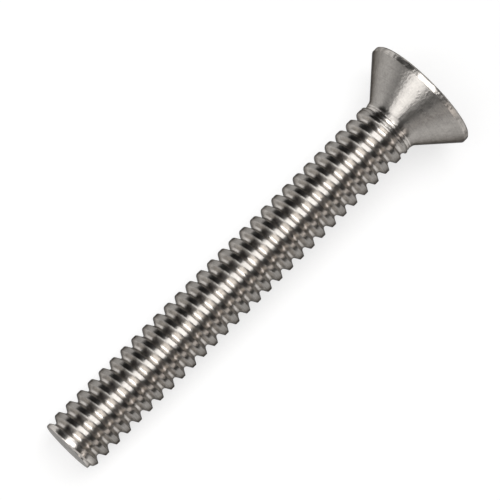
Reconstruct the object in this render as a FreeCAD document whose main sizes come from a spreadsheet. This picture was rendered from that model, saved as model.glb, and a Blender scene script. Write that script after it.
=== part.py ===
import FreeCAD, Part
import os
import Sketcher

# A countersunk hexagon socket screw, number 10 with 24 threads to the inch.
# It is drawn upright on its point, with the head at the top, and then laid
# down so that it touches the ground with its first full crest and with its rim.

# Sizes in millimetres and degrees.
SIZES = {
    "length": 34.925,
    "head_diameter": 8.9,
    "rim_height": 0.46,
    "rim_bevel": 0.12,
    "cone_angle": 82,
    "neck_diameter": 4.2,
    "neck_length": 0.5,
    "neck_flare": 0.15,
    "major_diameter": 4.38,
    "addendum": 0.16,
    "pitch": 1.0583,
    "flank_angle": 60,
    "groove_depth": 0.3,
    "first_crest_height": 0.844,
    "groove_overcut": 0.05,
    "tip_diameter": 4.0,
    "tip_chamfer_height": 0.4,
    "socket_width": 3.2,
    "socket_depth": 2.3,
    "floor_width": 2.4,
    "floor_taper_height": 0.6,
    "floor_angle": 118,
    "pit_diameter": 0.4,
    "mouth_diameter": 3.74,
    "mouth_angle": 90,
}

# Radii and heights along the screw, from its point, that several features share.
TIP_RADIUS = "Sizes.tip_diameter / 2"
CREST_RADIUS = "Sizes.major_diameter / 2"
NECK_RADIUS = "Sizes.neck_diameter / 2"
HEAD_RADIUS = "Sizes.head_diameter / 2"
RIM_FOOT = "(Sizes.length - Sizes.rim_height)"
CONE_FOOT = f"({RIM_FOOT} - ({HEAD_RADIUS} - {NECK_RADIUS}) / tan(Sizes.cone_angle / 2 * 1 deg))"
NECK_START = f"({CONE_FOOT} - Sizes.neck_length)"
SHANK_END = f"({NECK_START} - {CREST_RADIUS} + {NECK_RADIUS})"
FLOOR_RADIUS = "Sizes.floor_width / 2"
FLOOR_HEIGHT = "(Sizes.length - Sizes.socket_depth - Sizes.floor_taper_height)"

# The addendum is the crests' height above the pitch line, where crest and groove
# are equally wide. It gives the crests their full width. The groove between them
# is a vee, drawn two thirds as deep as the rolled thread's, whose root is 3.5 across.
CREST_WIDTH = "(Sizes.pitch / 2 - 2 * Sizes.addendum * tan(Sizes.flank_angle / 2 * 1 deg))"
GROOVE_HALF_WIDTH = f"((Sizes.pitch - {CREST_WIDTH}) / 2)"

# The groove starts clear of the point, a pitch and a half below the middle of the
# first full crest. It has as many whole turns as leave one for its run-out.
GROOVE_START = "(Sizes.first_crest_height - 1.5 * Sizes.pitch)"
GROOVE_TURNS = f"floor(({SHANK_END} - {GROOVE_START}) / Sizes.pitch - 1)"
RUNOUT_START = f"({GROOVE_START} + {GROOVE_TURNS} * Sizes.pitch)"


def make_sheet(doc):
    """The spreadsheet of driving sizes, one named cell each."""
    sheet = doc.addObject("Spreadsheet::Sheet", "Sizes")
    for row, (alias, value) in enumerate(SIZES.items(), 1):
        sheet.set(f"A{row}", alias)
        sheet.set(f"B{row}", str(value))
        sheet.setAlias(f"B{row}", alias)
    doc.recompute()


def number(body, expression):
    """The present value of an expression, as a plain number."""
    value = body.evalExpression(expression)
    return float(getattr(value, "Value", value))


def outline(body, name, plane, corners, height=None):
    """A closed sketch of straight lines, each corner tied to its two expressions."""
    sketch = body.newObject("Sketcher::SketchObject", name)
    origin_plane = next(o for o in body.Origin.OriginFeatures if o.Role == plane)
    sketch.AttachmentSupport = [(origin_plane, "")]
    sketch.MapMode = "FlatFace"
    if height:
        sketch.setExpression(".AttachmentOffset.Base.z", height)
    points = [FreeCAD.Vector(number(body, across), number(body, up), 0) for across, up in corners]
    for i, start in enumerate(points):
        sketch.addGeometry(Part.LineSegment(start, points[(i + 1) % len(points)]))
    for i in range(len(points)):
        sketch.addConstraint(Sketcher.Constraint("Coincident", i, 2, (i + 1) % len(points), 1))
    for i, (across, up) in enumerate(corners):
        place_corner(sketch, i, "DistanceX", -2, points[i].x, across)
        place_corner(sketch, i, "DistanceY", -1, points[i].y, up)
    return sketch


def place_corner(sketch, corner, kind, axis, value, expression):
    """Keep one coordinate of a corner on its axis, or at its expression's distance."""
    if expression == "0":
        sketch.addConstraint(Sketcher.Constraint("PointOnObject", corner, 1, axis))
        return
    index = sketch.addConstraint(Sketcher.Constraint(kind, -1, 1, corner, 1, value))
    sketch.setExpression(f"Constraints[{index}]", expression)


def turned(body, kind, name, sketch):
    """A revolved feature, all the way round the screw's axis."""
    feature = body.newObject(kind, name)
    feature.Profile = sketch
    feature.ReferenceAxis = (sketch, ["V_Axis"])
    feature.Angle = 360
    return feature


def rings(feature, radius, height):
    """Names of a feature's circular edges with this radius at this height."""
    names = []
    for i, edge in enumerate(feature.Shape.Edges, 1):
        if isinstance(edge.Curve, Part.Circle):
            off_radius = abs(edge.Curve.Radius - radius)
            off_height = abs(edge.Curve.Center.z - height)
            if max(off_radius, off_height) < 1e-4:
                names.append(f"Edge{i}")
    return names


def make_blank(body):
    """The turned form: point, shank, neck and countersunk head."""
    sketch = outline(body, "BlankOutline", "XZ_Plane", [
        ("0", "0"),
        (TIP_RADIUS, "0"),
        (CREST_RADIUS, "Sizes.tip_chamfer_height"),
        (CREST_RADIUS, SHANK_END),
        (NECK_RADIUS, NECK_START),
        (NECK_RADIUS, CONE_FOOT),
        (HEAD_RADIUS, RIM_FOOT),
        (HEAD_RADIUS, "Sizes.length - Sizes.rim_bevel"),
        (f"{HEAD_RADIUS} - Sizes.rim_bevel", "Sizes.length"),
        ("0", "Sizes.length"),
    ])
    blank = turned(body, "PartDesign::Revolution", "Blank", sketch)
    body.Document.recompute()
    flare = body.newObject("PartDesign::Chamfer", "NeckFlare")
    flare.Base = (blank, rings(blank, number(body, NECK_RADIUS), number(body, CONE_FOOT)))
    flare.setExpression("Size", "Sizes.neck_flare")
    body.Document.recompute()


def hexagon(width):
    """Corners of a hexagon this far across its flats, two of which face along X."""
    half = f"{width} / 2"
    corner = f"{width} / 2 / cos(30 deg)"
    return [
        (half, f"{corner} / 2"),
        ("0", corner),
        (f"-{half}", f"{corner} / 2"),
        (f"-{half}", f"-{corner} / 2"),
        ("0", f"-{corner}"),
        (half, f"-{corner} / 2"),
    ]


def make_socket(body):
    """The forged hexagon socket: straight walls, tapered foot, cone floor and bevelled mouth."""
    mouth = outline(body, "SocketMouth", "XY_Plane", hexagon("Sizes.socket_width"), "Sizes.length")
    pocket = body.newObject("PartDesign::Pocket", "Socket")
    pocket.Profile = mouth
    pocket.setExpression("Length", "Sizes.socket_depth")
    body.Document.recompute()

    foot_height = "Sizes.length - Sizes.socket_depth"
    foot = outline(body, "SocketFoot", "XY_Plane", hexagon("Sizes.socket_width"), foot_height)
    floor = outline(body, "SocketFloor", "XY_Plane", hexagon("Sizes.floor_width"), FLOOR_HEIGHT)
    taper = body.newObject("PartDesign::SubtractiveLoft", "SocketTaper")
    taper.Profile = foot
    taper.Sections = [floor]
    taper.Ruled = True
    body.Document.recompute()

    pit_radius = "Sizes.pit_diameter / 2"
    pit_height = (
        f"{FLOOR_HEIGHT} - ({FLOOR_RADIUS} - {pit_radius}) / tan(Sizes.floor_angle / 2 * 1 deg)"
    )
    cone = outline(body, "FloorConeOutline", "XZ_Plane", [
        ("0", FLOOR_HEIGHT),
        (FLOOR_RADIUS, FLOOR_HEIGHT),
        (pit_radius, pit_height),
        ("0", pit_height),
    ])
    turned(body, "PartDesign::Groove", "FloorCone", cone)
    body.Document.recompute()

    mouth_radius = "Sizes.mouth_diameter / 2"
    bevel_foot = f"Sizes.length - {mouth_radius} / tan(Sizes.mouth_angle / 2 * 1 deg)"
    bevel = outline(body, "MouthBevelOutline", "XZ_Plane", [
        ("0", "Sizes.length"),
        (mouth_radius, "Sizes.length"),
        ("0", bevel_foot),
    ])
    turned(body, "PartDesign::Groove", "MouthBevel", bevel)
    body.Document.recompute()


def groove_outline(body, name, centre):
    """The vee that cuts the thread's groove, widened along its flanks past the crests."""
    root_radius = f"({CREST_RADIUS} - Sizes.groove_depth)"
    slope = f"({GROOVE_HALF_WIDTH} / Sizes.groove_depth)"
    outer_radius = f"({CREST_RADIUS} + Sizes.groove_overcut)"
    outer_half_width = f"({slope} * (Sizes.groove_depth + Sizes.groove_overcut))"
    return outline(body, name, "XZ_Plane", [
        (root_radius, centre),
        (outer_radius, f"{centre} - {outer_half_width}"),
        (outer_radius, f"{centre} + {outer_half_width}"),
    ])


def make_thread(body):
    """The right-hand groove, from below the point to near the neck, and its run-out."""
    full = body.newObject("PartDesign::SubtractiveHelix", "Thread")
    full.Profile = groove_outline(body, "GrooveOutline", GROOVE_START)
    full.ReferenceAxis = (full.Profile[0], ["V_Axis"])
    full.Mode = "pitch-turns-angle"
    full.setExpression("Pitch", "Sizes.pitch")
    full.setExpression("Turns", GROOVE_TURNS)
    body.Document.recompute()

    runout = body.newObject("PartDesign::SubtractiveHelix", "ThreadRunout")
    runout.Profile = groove_outline(body, "RunoutOutline", RUNOUT_START)
    runout.ReferenceAxis = (runout.Profile[0], ["V_Axis"])
    runout.Mode = "height-turns-growth"
    runout.setExpression("Height", "Sizes.pitch")
    runout.Turns = 1
    runout.setExpression("Growth", "Sizes.groove_depth + Sizes.groove_overcut / 2")
    body.Document.recompute()


def lay_down(body):
    """Lay the screw along +X, on its first full crest and on the foot of its rim."""
    crest_foot = f"(Sizes.first_crest_height - {CREST_WIDTH} / 2)"
    tilt = f"atan(({HEAD_RADIUS} - {CREST_RADIUS}) / ({RIM_FOOT} - {crest_foot}))"
    tip_end = f"{TIP_RADIUS} * sin({tilt})"
    face_radius = f"({HEAD_RADIUS} - Sizes.rim_bevel)"
    top_end = f"(Sizes.length * cos({tilt}) + {face_radius} * sin({tilt}))"
    base_height = f"{CREST_RADIUS} * cos({tilt}) - {crest_foot} * sin({tilt})"
    across = FreeCAD.Rotation(FreeCAD.Vector(0, 1, 0), 90)
    body.Placement = FreeCAD.Placement(FreeCAD.Vector(), across)
    body.setExpression(".Placement.Rotation.Angle", f"90 deg - {tilt}")
    body.setExpression(".Placement.Base.x", f"({tip_end} - {top_end}) / 2")
    body.setExpression(".Placement.Base.z", base_height)
    body.Document.recompute()


def check(doc, body):
    """Every object has to be sound, and every cut has to take material away."""
    for item in doc.Objects:
        if {"Invalid", "Error"} & set(item.State):
            raise RuntimeError(f"{item.Name} did not build: {item.State}")
    if body.Shape.isNull() or not body.Shape.isValid() or len(body.Shape.Solids) != 1:
        raise RuntimeError(f"{body.Label} is not one valid solid")
    cuts = ["Socket", "SocketTaper", "FloorCone", "MouthBevel", "Thread", "ThreadRunout"]
    before = doc.getObject("NeckFlare").Shape.Volume
    for name in cuts:
        after = doc.getObject(name).Shape.Volume
        if after >= before:
            raise RuntimeError(f"{name} cuts nothing")
        before = after


def main():
    doc = FreeCAD.newDocument("countersunk_socket_screw")
    make_sheet(doc)
    screw = doc.addObject("PartDesign::Body", "Screw")
    screw.Label = "screw"
    make_blank(screw)
    make_socket(screw)
    make_thread(screw)
    lay_down(screw)
    check(doc, screw)
    os.makedirs("parts", exist_ok=True)
    screw.Shape.exportStep(f"parts/{screw.Label}.step")
    box = screw.Shape.BoundBox
    print(f"{screw.Label}: {screw.Shape.Volume:.2f} mm3, box {box}")


main()
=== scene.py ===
import math
from collections import namedtuple

import bpy
import numpy as np
from mathutils import Matrix, Vector


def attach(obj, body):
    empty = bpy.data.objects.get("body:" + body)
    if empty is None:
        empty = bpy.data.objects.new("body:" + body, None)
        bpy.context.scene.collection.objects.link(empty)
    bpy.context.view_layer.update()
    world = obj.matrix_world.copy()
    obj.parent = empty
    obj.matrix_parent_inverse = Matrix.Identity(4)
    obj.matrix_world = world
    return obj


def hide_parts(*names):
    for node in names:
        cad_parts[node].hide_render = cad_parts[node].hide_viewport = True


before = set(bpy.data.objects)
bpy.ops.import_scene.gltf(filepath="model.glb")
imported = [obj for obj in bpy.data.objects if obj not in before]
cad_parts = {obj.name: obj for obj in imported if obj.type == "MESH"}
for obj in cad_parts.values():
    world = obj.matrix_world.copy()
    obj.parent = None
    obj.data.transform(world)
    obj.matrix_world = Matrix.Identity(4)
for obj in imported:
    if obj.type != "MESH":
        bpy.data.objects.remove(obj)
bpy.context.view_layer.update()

# Sizes of the screw in millimetres, the same as in the part's source.
LENGTH = 34.925
HEAD_RADIUS = 4.45
RIM_HEIGHT = 0.46
RIM_BEVEL = 0.12
CONE_ANGLE = math.radians(82)
NECK_RADIUS = 2.1
CREST_RADIUS = 2.19
PITCH = 1.0583
CREST_WIDTH = 0.3444
FIRST_CREST = 0.844
TIP_RADIUS = 2.0
SOCKET_HALF = 1.6
SOCKET_DEPTH = 2.3
FLOOR_HALF = 1.2
FLOOR_TAPER = 0.6
FLOOR_ANGLE = math.radians(118)
PIT_RADIUS = 0.2
MOUTH_RADIUS = 1.87

# What this script adds to the thread: its full depth, its run-out in turns below
# the neck, and the widths over which its crests and roots are softened.
THREAD_DEPTH = 0.44
FLANK_ANGLE = math.radians(60)
FULL_TURNS = 29.2
RUNOUT_TURNS = 1.5
CREST_EDGE = 0.035
ROOT_EDGE = 0.11

# The point: its rounded edge, the blank's radius there, the least radius in the
# first groove, and the heights between which both go over to the shank.
TIP_EDGE = 0.12
TIP_SHOULDER = 2.08
TIP_ROOT = 1.9
TIP_RISE = (0.35, 0.65)

# The neck: how far below the cone the crests step down to it, over what height,
# the fillet's radius, and the fine rings as (distance below the cone, depth).
NECK_START = 0.75
NECK_STEP = 0.3
NECK_FILLET = 0.6
NECK_RINGS = ((0.30, 0.05), (0.55, 0.06), (0.80, 0.05))
RING_WIDTH = 0.05

# The rounded edges of the rim at the face and at the cone.
RIM_EDGE = 0.08
RIM_FOOT_EDGE = 0.05

# Mesh density. A vertex of the thread that is nearer to a level ring than this
# share of a row joins the ring.
COLUMNS = 96
ROWS_PER_PITCH = 24
GROOVE_SAMPLES = 400
POINT_RINGS = 7
FILLET_RINGS = 9
CONE_RINGS = 14
FACE_RINGS = 12
FLOOR_RINGS = (0.9, 0.6, 0.4)
QUARTERS = (0.25, 0.5, 0.75)
JOIN_SHARE = 0.3

# Faces that meet at more than this angle keep their edge.
SHARP_ANGLE = math.radians(32)

RIM_FOOT = LENGTH - RIM_HEIGHT
CONE_FOOT = RIM_FOOT - (HEAD_RADIUS - NECK_RADIUS) / math.tan(CONE_ANGLE / 2)
FILLET_REACH = NECK_FILLET * math.tan(CONE_ANGLE / 4)
FILLET_FOOT = CONE_FOOT - FILLET_REACH
FILLET_TOP = CONE_FOOT + FILLET_REACH * math.cos(CONE_ANGLE / 2)
CREST_FOOT = FIRST_CREST - CREST_WIDTH / 2
GROOVE_START = FIRST_CREST - 1.5 * PITCH
TILT = math.atan((HEAD_RADIUS - CREST_RADIUS) / (RIM_FOOT - CREST_FOOT))

ANGLES = 2 * math.pi * np.arange(COLUMNS) / COLUMNS

THREAD, CONE, RIM, FACE, SOCKET, POINT = range(6)
KINDS = ("thread", "cone", "rim", "face", "socket", "point")

# Colour of the steel, and its reflection at a grazing angle as a share of the full
# one, on the point and elsewhere.
BASE_COLOUR = (0.365, 0.346, 0.325)
EDGE_TINT = (0.12, 0.12, 0.12, 1)
POINT_TINT = (0.5, 0.5, 0.5, 1)

# Roughness and its spread, the anisotropy, how fast the turning marks change round
# the axis and across it per mm, the marks' depth and the grain's in micrometres,
# the grain's number per mm, and the darkest and the lightest tone as a share of the
# base colour.
Finish = namedtuple("Finish", "roughness spread anisotropy around across "
                              "marks_um grain_um grain_per_mm darkest lightest")
FINISHES = {
    "thread": Finish(0.31, 0.07, 0.78, 2.0, 22.0, 0.8, 5.0, 6.0, 0.80, 1.20),
    "cone": Finish(0.34, 0.08, 0.82, 1.2, 22.0, 1.0, 14.0, 6.5, 0.74, 1.22),
    "rim": Finish(0.32, 0.10, 0.0, 3.0, 22.0, 1.2, 70.0, 1.6, 0.70, 1.80),
    "face": Finish(0.30, 0.10, 0.85, 0.5, 9.0, 3.0, 4.0, 4.0, 0.70, 1.30),
    "socket": Finish(0.34, 0.06, 0.0, 6.0, 22.0, 1.2, 6.0, 3.0, 0.80, 1.20),
    "point": Finish(0.34, 0.06, 0.0, 3.0, 22.0, 1.2, 100.0, 2.6, 0.40, 1.50),
}
MICROMETRE = 1e-6

# Larger spots per mm, the shares of the marks and of the spots and the grain in the
# tone, how far that noise strays from its middle, and its range in the tone.
SPOTS_PER_MM = 1.6
MARKS_SHARE, SPOTS_SHARE = 0.4, 0.3
NOISE_MIDDLE, NOISE_REACH = 0.5, 0.25
TONE_RANGE = (0.38, 0.62)

# Painted light: the groove's colour is raised to stand in for the light that bounces
# between its flanks, and the crests' colour is lowered as painted shade. The shares of
# the base colour on both, and the depths in mm between which they go over.
GROOVE_PAINTED_LIGHT = 1.55
CREST_PAINTED_SHADE = 0.80
PAINTED_LIGHT_DEPTH = (0.02, 0.12)

# Nearer to the axis than this, in mm, the marks fade out.
AXIS_RADIUS = 0.05

# The tangent runs round the axis, and the shine spreads across the marks.
QUARTER_TURN = 0.25

# The studio floor: its corners in metres, its grey under the lamps, and how bright
# the camera sees it at two distances in metres.
STAGE_CORNERS = [(-3, -3, 0), (3, -3, 0), (3, 3, 0), (-3, 3, 0)]
STAGE_GREY = (0.36, 0.36, 0.36, 1)
GLOW_DISTANCE = (0.08, 0.4)
GLOW = (0.66, 1.0)

WORLD_GREY = (0.05, 0.05, 0.05, 1)
WHITE = (1, 1, 1, 1)
BLACK = (0.02, 0.02, 0.02, 1)
DARK = (0.03, 0.03, 0.03, 1)

# Lamps: name, the angles towards the tip and towards -Y, half the angle along and
# across, the distance in metres, the radiance and the colour.
LAMPS = (
    ("key", 0, -6.5, (33, 20), 0.5, 3.9, (1, 1, 1)),
    ("tip_light", 74, -14, (13.5, 16), 0.6, 4.2, (1, 1, 1)),
    ("head_light", -62, -9, (23, 13), 0.6, 0.9, (1, 1, 1)),
    ("fill_right", 0, 59.5, (45, 6.5), 0.44, 0.8, (1, 0.86, 0.75)),
)

# Cards that the steel mirrors as dark bands, given in the same way.
CARDS = (
    ("flag_left", 0, -57, (60, 29), 0.45, BLACK),
    ("flag_middle", 0, 33.5, (60, 19), 0.42, DARK),
    ("flag_right", 0, 76, (60, 10.5), 0.45, BLACK),
    ("flag_tip", 60, -6, (62, 27), 0.9, BLACK),
    ("flag_head", -60, -6, (62, 27), 0.9, BLACK),
    ("low_right", 83, 30, (30, 7), 0.55, DARK),
    ("low_left", 83, -46, (18, 7), 0.55, DARK),
)

# The camera: lens and sensor in mm, the lean towards the tip, the turn about its
# line of sight, the point that it looks at and its distance in metres.
LENS, SENSOR = 275.4, 36
CLIP = (0.01, 10)
CAMERA_LEAN = math.radians(12.6)
CAMERA_TURN = math.radians(44.92)
CAMERA_AIM = Vector((0.00082, 0.00075, 0.004))
CAMERA_DISTANCE = 0.2623


# Place of the screw

def lying():
    """The matrix from the upright screw in millimetres to the lying one in metres."""
    low = TIP_RADIUS * math.sin(TILT)
    high = LENGTH * math.cos(TILT) + (HEAD_RADIUS - RIM_BEVEL) * math.sin(TILT)
    up = CREST_RADIUS * math.cos(TILT) - CREST_FOOT * math.sin(TILT)
    place = Matrix.Translation(Vector(((low - high) / 2, 0, up)))
    return Matrix.Scale(0.001, 4) @ place @ Matrix.Rotation(math.pi / 2 - TILT, 4, "Y")


# Form of the screw

def smooth(values, width):
    """Values averaged over a window of this many steps, twice."""
    window = np.ones(max(1, int(width)))
    window /= len(window)
    for _ in range(2):
        values = np.convolve(values, window, "same")
    return values


def groove_profile():
    """Depth of the full groove at distances from its middle, with softened edges."""
    across = np.linspace(0, PITCH / 2, GROOVE_SAMPLES)
    half = (PITCH - CREST_WIDTH) / 2
    depth = np.clip((half - across) / math.tan(FLANK_ANGLE / 2), 0, THREAD_DEPTH)
    step = across[1]
    mirrored = np.concatenate([depth[::-1], depth[1:]])
    mirrored = np.concatenate([mirrored, mirrored[1:], mirrored[1:]])
    soft_crest = smooth(mirrored, CREST_EDGE / step)
    soft_root = smooth(mirrored, ROOT_EDGE / step)
    middle = slice(len(depth) * 3 - 3, len(depth) * 4 - 3)
    share = np.clip(depth / THREAD_DEPTH, 0, 1)
    return across, soft_crest[middle] * (1 - share) + soft_root[middle] * share


GROOVE = groove_profile()


def groove_depth(angle, height):
    """Depth of the thread's groove at an angle and a height on the shank."""
    turn = angle / (2 * math.pi)
    above = (height - GROOVE_START) / PITCH - turn
    nearest = np.round(above)
    distance = np.abs(above - nearest) * PITCH
    travelled = nearest + turn
    fade = np.clip((FULL_TURNS + RUNOUT_TURNS - travelled) / RUNOUT_TURNS, 0, 1)
    full = np.interp(distance, *GROOVE)
    return np.maximum(full - THREAD_DEPTH * (1 - fade), 0) * np.sqrt(fade)


def blank_radius(height):
    """Radius of the blank: the softened point, the shank, the neck and the fillet."""
    height = np.asarray(height, float)
    radius = np.interp(height, TIP_RISE, (TIP_SHOULDER, CREST_RADIUS))
    end = np.clip(1 - height / TIP_EDGE, 0, 1)
    radius = radius - TIP_EDGE * (1 - np.sqrt(1 - end**2))
    drop = np.clip((height - (CONE_FOOT - NECK_START)) / NECK_STEP, 0, 1)
    radius = radius - (CREST_RADIUS - NECK_RADIUS) * drop * drop * (3 - 2 * drop)
    rise = (height - CONE_FOOT + FILLET_REACH) / NECK_FILLET
    rise = np.clip(rise, 0, math.sin(CONE_ANGLE / 2))
    return radius + NECK_FILLET * (1 - np.sqrt(1 - rise**2))


def shank_radius(angle, height):
    """Radius with the thread, whose first groove is shallow through the end face."""
    blank = blank_radius(height)
    top = np.where(height < TIP_RISE[1], CREST_RADIUS, blank)
    least = np.interp(height, TIP_RISE, (TIP_ROOT, 0))
    radius = np.minimum(blank, np.maximum(top - groove_depth(angle, height), least))
    for below, depth in NECK_RINGS:
        radius = radius - depth * np.exp(-((height - CONE_FOOT + below) / RING_WIDTH) ** 2)
    return radius


def hexagon(half_width, angle):
    """Distance from the axis to a hexagon whose flats face along X."""
    turn = (angle + math.pi / 6) % (math.pi / 3) - math.pi / 6
    return half_width / np.cos(turn)


def rounded(corner, before, after, radius, steps=5):
    """Points on an arc that rounds a corner of a profile, in (radius, height)."""
    corner, before, after = (np.array(p, float) for p in (corner, before, after))
    a = (before - corner) / np.linalg.norm(before - corner)
    b = (after - corner) / np.linalg.norm(after - corner)
    half = math.acos(float(a @ b)) / 2
    reach = radius / math.tan(half)
    centre = corner + (a + b) / np.linalg.norm(a + b) * radius / math.sin(half)
    start, end = corner + a * reach - centre, corner + b * reach - centre
    turn = math.pi - 2 * half
    points = []
    for t in np.linspace(0, 1, steps):
        w = (math.sin((1 - t) * turn), math.sin(t * turn))
        points.append(centre + (start * w[0] + end * w[1]) / math.sin(turn))
    return points


# Mesh of the screw

class Mesh:
    """Vertices, faces and one number per face for its material."""

    def __init__(self):
        self.points, self.faces, self.kinds = [], [], []

    def ring(self, radius, height):
        """A ring with one vertex per column."""
        radius = np.broadcast_to(radius, ANGLES.shape)
        height = np.broadcast_to(height, ANGLES.shape)
        first = len(self.points)
        for a, r, z in zip(ANGLES, radius, height):
            self.points.append((r * math.cos(a), r * math.sin(a), z))
        return np.arange(first, first + COLUMNS)

    def join(self, lower, upper, kind):
        """Faces between two rings, facing out where the rings go up the outside."""
        for i in range(COLUMNS):
            j = (i + 1) % COLUMNS
            self.faces.append((lower[i], lower[j], upper[j], upper[i]))
            self.kinds.append(kind)

    def close(self, ring, height, kind, upward):
        """A fan from a ring to the axis."""
        centre = len(self.points)
        self.points.append((0.0, 0.0, height))
        for i in range(COLUMNS):
            j = (i + 1) % COLUMNS
            edge = (ring[i], ring[j]) if upward else (ring[j], ring[i])
            self.faces.append((*edge, centre))
            self.kinds.append(kind)

    def chain(self, rings, kind):
        """Faces between each ring and the next."""
        for lower, upper in zip(rings, rings[1:]):
            self.join(lower, upper, kind)


def add_thread(mesh, low, low_ring, high, high_ring):
    """The shank between two level rings, in rows that follow the helix."""
    step = PITCH / ROWS_PER_PITCH
    first = math.floor((low - PITCH) / step)
    last = math.ceil(high / step)
    rows = {}
    for k in range(first, last + 1):
        heights = k * step + PITCH * ANGLES / (2 * math.pi)
        radii = shank_radius(ANGLES, np.clip(heights, low, high))
        row = []
        for i, (a, z, r) in enumerate(zip(ANGLES, heights, radii)):
            if z < low + JOIN_SHARE * step:
                row.append(low_ring[i])
            elif z > high - JOIN_SHARE * step:
                row.append(high_ring[i])
            else:
                row.append(len(mesh.points))
                mesh.points.append((r * math.cos(a), r * math.sin(a), z))
        rows[k] = row
    for k in range(first, last):
        for i in range(COLUMNS):
            if i + 1 < COLUMNS:
                after = rows[k][i + 1], rows[k + 1][i + 1]
            elif k + 1 + ROWS_PER_PITCH in rows:
                after = rows[k + ROWS_PER_PITCH][0], rows[k + 1 + ROWS_PER_PITCH][0]
            else:
                continue
            corners = [rows[k][i], *after, rows[k + 1][i]]
            face = [c for n, c in enumerate(corners) if c != corners[n - 1]]
            if len(face) > 2:
                mesh.faces.append(tuple(face))
                mesh.kinds.append(THREAD)


def add_head(mesh, neck_ring):
    """The cone, the rim and the flat face, up to the socket's mouth."""
    neck = (NECK_RADIUS, CONE_FOOT)
    rim_foot = (HEAD_RADIUS, RIM_FOOT)
    rim_top = (HEAD_RADIUS, LENGTH - RIM_BEVEL)
    face_edge = (HEAD_RADIUS - RIM_BEVEL, LENGTH)
    rings = [neck_ring]
    for z in np.linspace(FILLET_FOOT, FILLET_TOP, FILLET_RINGS)[1:]:
        rings.append(mesh.ring(shank_radius(ANGLES, z), z))
    start = np.array([float(blank_radius(FILLET_TOP)), FILLET_TOP])
    foot = rounded(rim_foot, neck, rim_top, RIM_FOOT_EDGE)
    for t in np.linspace(0, 1, CONE_RINGS)[1:-1]:
        rings.append(mesh.ring(*(start * (1 - t) + foot[0] * t)))
    rings.append(mesh.ring(*foot[0]))
    mesh.chain(rings, CONE)
    top = rounded(rim_top, rim_foot, face_edge, RIM_EDGE)
    side = [rings[-1]] + [mesh.ring(*p) for p in foot[1:]]
    side += [mesh.ring(*(foot[-1] * (1 - t) + top[0] * t)) for t in QUARTERS]
    side += [mesh.ring(*p) for p in top]
    mesh.chain(side, RIM)
    edge = rounded(face_edge, rim_top, (0, LENGTH), RIM_EDGE)
    across = [side[-1]] + [mesh.ring(*p) for p in edge]
    for r in np.linspace(edge[-1][0], MOUTH_RADIUS, FACE_RINGS)[1:]:
        across.append(mesh.ring(r, LENGTH))
    mesh.chain(across, FACE)
    return across[-1]


def add_socket(mesh, mouth):
    """The bevelled mouth, the six walls, the tapered foot, the cone floor and the pit."""
    wall = hexagon(SOCKET_HALF, ANGLES)
    lip = LENGTH - MOUTH_RADIUS + wall
    foot = LENGTH - SOCKET_DEPTH
    floor = foot - FLOOR_TAPER
    rings = [mouth, mesh.ring((wall + MOUTH_RADIUS) / 2, (lip + LENGTH) / 2)]
    rings.append(mesh.ring(wall, lip))
    for t in (*QUARTERS, 1):
        rings.append(mesh.ring(wall, lip * (1 - t) + foot * t))
    for t in (0.5, 1):
        half = SOCKET_HALF * (1 - t) + FLOOR_HALF * t
        rings.append(mesh.ring(hexagon(half, ANGLES), foot * (1 - t) + floor * t))
    slope = math.tan(FLOOR_ANGLE / 2)
    for r in (FLOOR_HALF, *FLOOR_RINGS, PIT_RADIUS):
        rings.append(mesh.ring(r, floor - (FLOOR_HALF - r) / slope))
    mesh.chain(rings, SOCKET)
    mesh.close(rings[-1], floor - (FLOOR_HALF - PIT_RADIUS) / slope, SOCKET, True)


def make_screw():
    """The whole screw as one piece, lying in its place."""
    mesh = Mesh()
    point_heights = TIP_EDGE * (1 - np.cos(np.linspace(0, math.pi / 2, POINT_RINGS)))
    point = [mesh.ring(shank_radius(ANGLES, z), z) for z in point_heights]
    mesh.close(point[0], 0.0, POINT, False)
    mesh.chain(point, THREAD)
    neck = mesh.ring(shank_radius(ANGLES, FILLET_FOOT), FILLET_FOOT)
    add_thread(mesh, TIP_EDGE, point[-1], FILLET_FOOT, neck)
    add_socket(mesh, add_head(mesh, neck))
    data = bpy.data.meshes.new("screw_finish")
    data.from_pydata(mesh.points, [], [tuple(int(v) for v in f) for f in mesh.faces])
    data.validate()
    screw = bpy.data.objects.new("screw_finish", data)
    bpy.context.collection.objects.link(screw)
    for name in KINDS:
        data.materials.append(steel(name))
    data.polygons.foreach_set("material_index", mesh.kinds)
    data.polygons.foreach_set("use_smooth", [kind != POINT for kind in mesh.kinds])
    data.set_sharp_from_angle(angle=SHARP_ANGLE)
    data.transform(lying())
    data.update()
    return screw


# Materials

class Nodes:
    """Short calls that add nodes to one material and link them."""

    def __init__(self, tree):
        self.tree = tree
        tree.nodes.clear()

    def add(self, kind, settings=(), **inputs):
        """A node with these settings and inputs. Inputs i0, i1, ... go by number."""
        node = self.tree.nodes.new(kind)
        for name, value in dict(settings).items():
            setattr(node, name, value)
        for name, value in inputs.items():
            self.set(node, name, value)
        return node

    def set(self, node, name, value):
        """Link or fill in one input, by its name or as i and its number."""
        numbered = name[0] == "i" and name[1:].isdigit()
        socket = node.inputs[int(name[1:]) if numbered else name]
        if isinstance(value, bpy.types.NodeSocket):
            self.tree.links.new(value, socket)
        else:
            socket.default_value = value

    def math(self, operation, a, b=0.0, c=0.0):
        settings = {"operation": operation}
        return self.add("ShaderNodeMath", settings, i0=a, i1=b, i2=c).outputs[0]

    def vector(self, operation, a, b=(0, 0, 0)):
        settings = {"operation": operation}
        return self.add("ShaderNodeVectorMath", settings, i0=a, i1=b).outputs[0]

    def noise(self, place, scale, detail, roughness):
        return self.add("ShaderNodeTexNoise", Vector=place, Scale=scale, Detail=detail,
                        Roughness=roughness).outputs[0]

    def bump(self, depth_um, height, **normal):
        return self.add("ShaderNodeBump", Strength=1.0, Distance=depth_um * MICROMETRE,
                        Height=height, **normal).outputs[0]


def new_material(name):
    material = bpy.data.materials.new(name)
    material.use_nodes = True
    return material, Nodes(material.node_tree)


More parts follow.
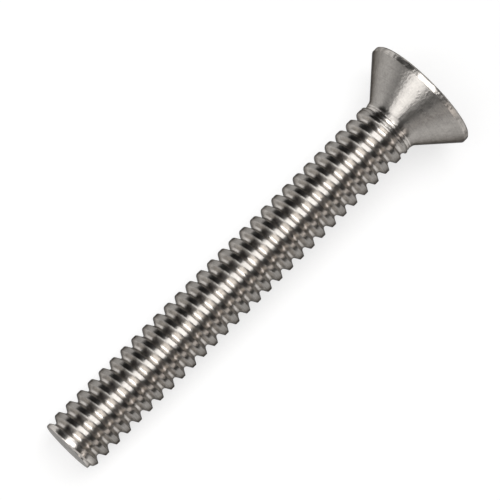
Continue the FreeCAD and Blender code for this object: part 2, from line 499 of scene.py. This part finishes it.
def upright(nodes):
    """Shader coordinates of the upright screw, in millimetres."""
    turned = lying().inverted()
    position = nodes.add("ShaderNodeTexCoord").outputs["Object"]
    places = []
    for row in turned[:3]:
        along = nodes.add("ShaderNodeVectorMath", {"operation": "DOT_PRODUCT"},
                          i0=position, i1=tuple(row[:3])).outputs["Value"]
        places.append(nodes.math("ADD", along, row[3]))
    return places


def round_axis(nodes):
    """The direction round the axis of the lying screw."""
    axis = (lying().to_3x3() @ Vector((0, 0, 1))).normalized()
    position = nodes.add("ShaderNodeTexCoord").outputs["Object"]
    arm = nodes.vector("SUBTRACT", position, tuple(lying().to_translation()))
    return nodes.vector("NORMALIZE", nodes.vector("CROSS_PRODUCT", tuple(axis), arm))


def tone_ramp(nodes, ripple, shares):
    """The base colour, from its darkest to its lightest share."""
    ramp = nodes.add("ShaderNodeValToRGB", i0=ripple)
    for stop, position, share in zip(ramp.color_ramp.elements, TONE_RANGE, shares):
        stop.position = position
        stop.color = tuple(c * share for c in BASE_COLOUR) + (1,)
    return ramp.outputs[0]


def paint_groove_light(nodes, colour, radius):
    """The colour with painted light in the thread's groove and painted shade on its crests."""
    painted_light = nodes.add("ShaderNodeMapRange", i0=radius, i1=CREST_RADIUS - PAINTED_LIGHT_DEPTH[1],
                      i2=CREST_RADIUS - PAINTED_LIGHT_DEPTH[0], i3=GROOVE_PAINTED_LIGHT, i4=CREST_PAINTED_SHADE)
    return nodes.add("ShaderNodeVectorMath", {"operation": "SCALE"}, i0=colour,
                     Scale=painted_light.outputs[0]).outputs[0]


def steel(kind):
    """Turned or rolled stainless steel, with fine marks that run round the axis."""
    finish = FINISHES[kind]
    material, nodes = new_material("steel_" + kind)
    x, y, z = upright(nodes)
    squares = nodes.math("ADD", nodes.math("MULTIPLY", x, x), nodes.math("MULTIPLY", y, y))
    radius = nodes.math("SQRT", squares)
    safe = nodes.math("MAXIMUM", radius, AXIS_RADIUS)
    ring = nodes.add(
        "ShaderNodeCombineXYZ",
        i0=nodes.math("MULTIPLY", nodes.math("DIVIDE", x, safe), finish.around),
        i1=nodes.math("MULTIPLY", nodes.math("DIVIDE", y, safe), finish.around),
        i2=nodes.math("MULTIPLY", nodes.math("ADD", z, radius), finish.across)).outputs[0]
    place = nodes.add("ShaderNodeCombineXYZ", i0=x, i1=y, i2=z).outputs[0]
    marks = nodes.noise(ring, scale=1.0, detail=4.0, roughness=0.7)
    spots = nodes.noise(place, SPOTS_PER_MM, detail=5.0, roughness=0.6)
    grain = nodes.noise(place, finish.grain_per_mm, detail=2.0, roughness=0.5)
    even = nodes.math("MULTIPLY", nodes.math("ADD", spots, grain), SPOTS_SHARE)
    ripple = nodes.math("ADD", nodes.math("MULTIPLY", marks, MARKS_SHARE), even)
    roughness = nodes.math("MULTIPLY_ADD", nodes.math("SUBTRACT", ripple, NOISE_MIDDLE),
                           finish.spread / NOISE_REACH, finish.roughness)
    colour = tone_ramp(nodes, ripple, (finish.darkest, finish.lightest))
    # The thread's colour gets painted light in the groove and painted shade on the crests.
    if kind == "thread":
        colour = paint_groove_light(nodes, colour, radius)
    coarse = nodes.bump(finish.grain_um, grain)
    shader = nodes.add("ShaderNodeBsdfPrincipled", Metallic=1.0,
                       Anisotropic=finish.anisotropy, Roughness=roughness,
                       Normal=nodes.bump(finish.marks_um, marks, Normal=coarse),
                       Tangent=round_axis(nodes))
    nodes.set(shader, "Anisotropic Rotation", QUARTER_TURN)
    nodes.set(shader, "Specular Tint", POINT_TINT if kind == "point" else EDGE_TINT)
    nodes.set(shader, "Base Color", colour)
    nodes.add("ShaderNodeOutputMaterial", i0=shader.outputs[0])
    return material


# Studio

def seen(nodes):
    """1 where the camera, a reflection or glass sees the background, and 0 for its light."""
    path = nodes.add("ShaderNodeLightPath")
    either = nodes.math("MAXIMUM", path.outputs["Is Camera Ray"], path.outputs["Is Glossy Ray"])
    return nodes.math("MAXIMUM", either, path.outputs["Is Transmission Ray"])


def floor_material():
    """A pale floor that the camera sees as white, with the screw's soft shadow."""
    material, nodes = new_material("studio_floor")
    plain = nodes.add("ShaderNodeBsdfDiffuse", Color=STAGE_GREY)
    place = nodes.add("ShaderNodeTexCoord").outputs["Object"]
    away = nodes.add("ShaderNodeVectorMath", {"operation": "LENGTH"}, i0=place)
    share = nodes.add("ShaderNodeMapRange", i0=away.outputs["Value"], i1=GLOW_DISTANCE[0],
                      i2=GLOW_DISTANCE[1], i3=GLOW[0], i4=GLOW[1])
    strength = nodes.math("MULTIPLY", seen(nodes), share.outputs[0])
    glow = nodes.add("ShaderNodeEmission", Color=WHITE, Strength=strength)
    both = nodes.add("ShaderNodeAddShader", i0=plain.outputs[0], i1=glow.outputs[0])
    nodes.add("ShaderNodeOutputMaterial", i0=both.outputs[0])
    return material


def plain_material(name, colour):
    material, nodes = new_material(name)
    plain = nodes.add("ShaderNodeBsdfDiffuse", Color=colour)
    nodes.add("ShaderNodeOutputMaterial", i0=plain.outputs[0])
    return material


def sheet(name, corners, material):
    """A flat four-cornered stage piece."""
    data = bpy.data.meshes.new(name)
    data.from_pydata(corners, [], [(0, 1, 2, 3)])
    data.materials.append(material)
    piece = bpy.data.objects.new(name, data)
    bpy.context.collection.objects.link(piece)


def toward(x_angle, y_angle, distance):
    """A point at this distance from the screw. The angles, in degrees, lean from
    straight up towards the tip (positive) and towards -Y (positive)."""
    x_angle, y_angle = math.radians(x_angle), math.radians(y_angle)
    lean = Vector((-math.sin(x_angle), 0, math.cos(x_angle)))
    side = Vector((0, -math.sin(y_angle), 0)) + lean * math.cos(y_angle)
    return side.normalized() * distance


def facing(position):
    """Axes of a flat piece that faces the screw: its long side, its short side, its back."""
    back = position.normalized()
    nearly_along_x = abs(back.x) > 0.9
    side = Vector((0, 1, 0)) if nearly_along_x else Vector((1, 0, 0))
    right = (side - back * back.dot(side)).normalized()
    return right, back.cross(right), back


def extent(half_angle, distance):
    """Width that fills twice this angle, in degrees, as seen from the screw."""
    return 2 * distance * math.tan(math.radians(half_angle))


def softbox(name, lean, side, spread, distance, radiance, colour):
    """A rectangular lamp that faces the screw."""
    position = toward(lean, side, distance)
    data = bpy.data.lights.new(name, "AREA")
    data.shape = "RECTANGLE"
    data.size, data.size_y = (extent(half, distance) for half in spread)
    data.energy = radiance * math.pi * data.size * data.size_y
    data.color = colour
    lamp = bpy.data.objects.new(name, data)
    bpy.context.collection.objects.link(lamp)
    axes = Matrix(facing(position)).transposed().to_4x4()
    lamp.matrix_world = Matrix.Translation(position) @ axes


def card(name, lean, side, spread, distance, colour):
    """A matt card that faces the screw."""
    position = toward(lean, side, distance)
    right, up, _ = facing(position)
    right, up = (axis * extent(half, distance) / 2 for axis, half in zip((right, up), spread))
    corners = [position - right - up, position + right - up,
               position + right + up, position - right + up]
    sheet(name, corners, plain_material(name, colour))


def make_world():
    """White to the camera and in reflections, and a dim grey light."""
    world = bpy.data.worlds.new("studio")
    bpy.context.scene.world = world
    world.use_nodes = True
    nodes = Nodes(world.node_tree)
    grey = nodes.add("ShaderNodeBackground", Color=WORLD_GREY, Strength=1.0)
    white = nodes.add("ShaderNodeBackground", Color=WHITE, Strength=1.0)
    mix = nodes.add("ShaderNodeMixShader", i0=seen(nodes), i1=grey.outputs[0],
                    i2=white.outputs[0])
    nodes.add("ShaderNodeOutputWorld", i0=mix.outputs[0])


def make_camera():
    """A long lens, a little towards the point, turned so the screw runs up to the right."""
    data = bpy.data.cameras.new("camera")
    data.lens, data.sensor_width = LENS, SENSOR
    data.clip_start, data.clip_end = CLIP
    camera = bpy.data.objects.new("camera", data)
    bpy.context.collection.objects.link(camera)
    back = Vector((-math.sin(CAMERA_LEAN), 0, math.cos(CAMERA_LEAN)))
    right = Vector((1, 0, 0)).cross(back).normalized()
    up = back.cross(right)
    across = right * math.cos(CAMERA_TURN) + up * math.sin(CAMERA_TURN)
    above = up * math.cos(CAMERA_TURN) - right * math.sin(CAMERA_TURN)
    axes = Matrix((across, above, back)).transposed().to_4x4()
    camera.matrix_world = Matrix.Translation(CAMERA_AIM + back * CAMERA_DISTANCE) @ axes
    bpy.context.scene.camera = camera


screw = make_screw()
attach(screw, "root")
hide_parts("screw")

sheet("floor", STAGE_CORNERS, floor_material())
for lamp in LAMPS:
    softbox(*lamp)
for flag in CARDS:
    card(*flag)
make_world()
make_camera()
bpy.context.scene.view_settings.view_transform = "Standard"
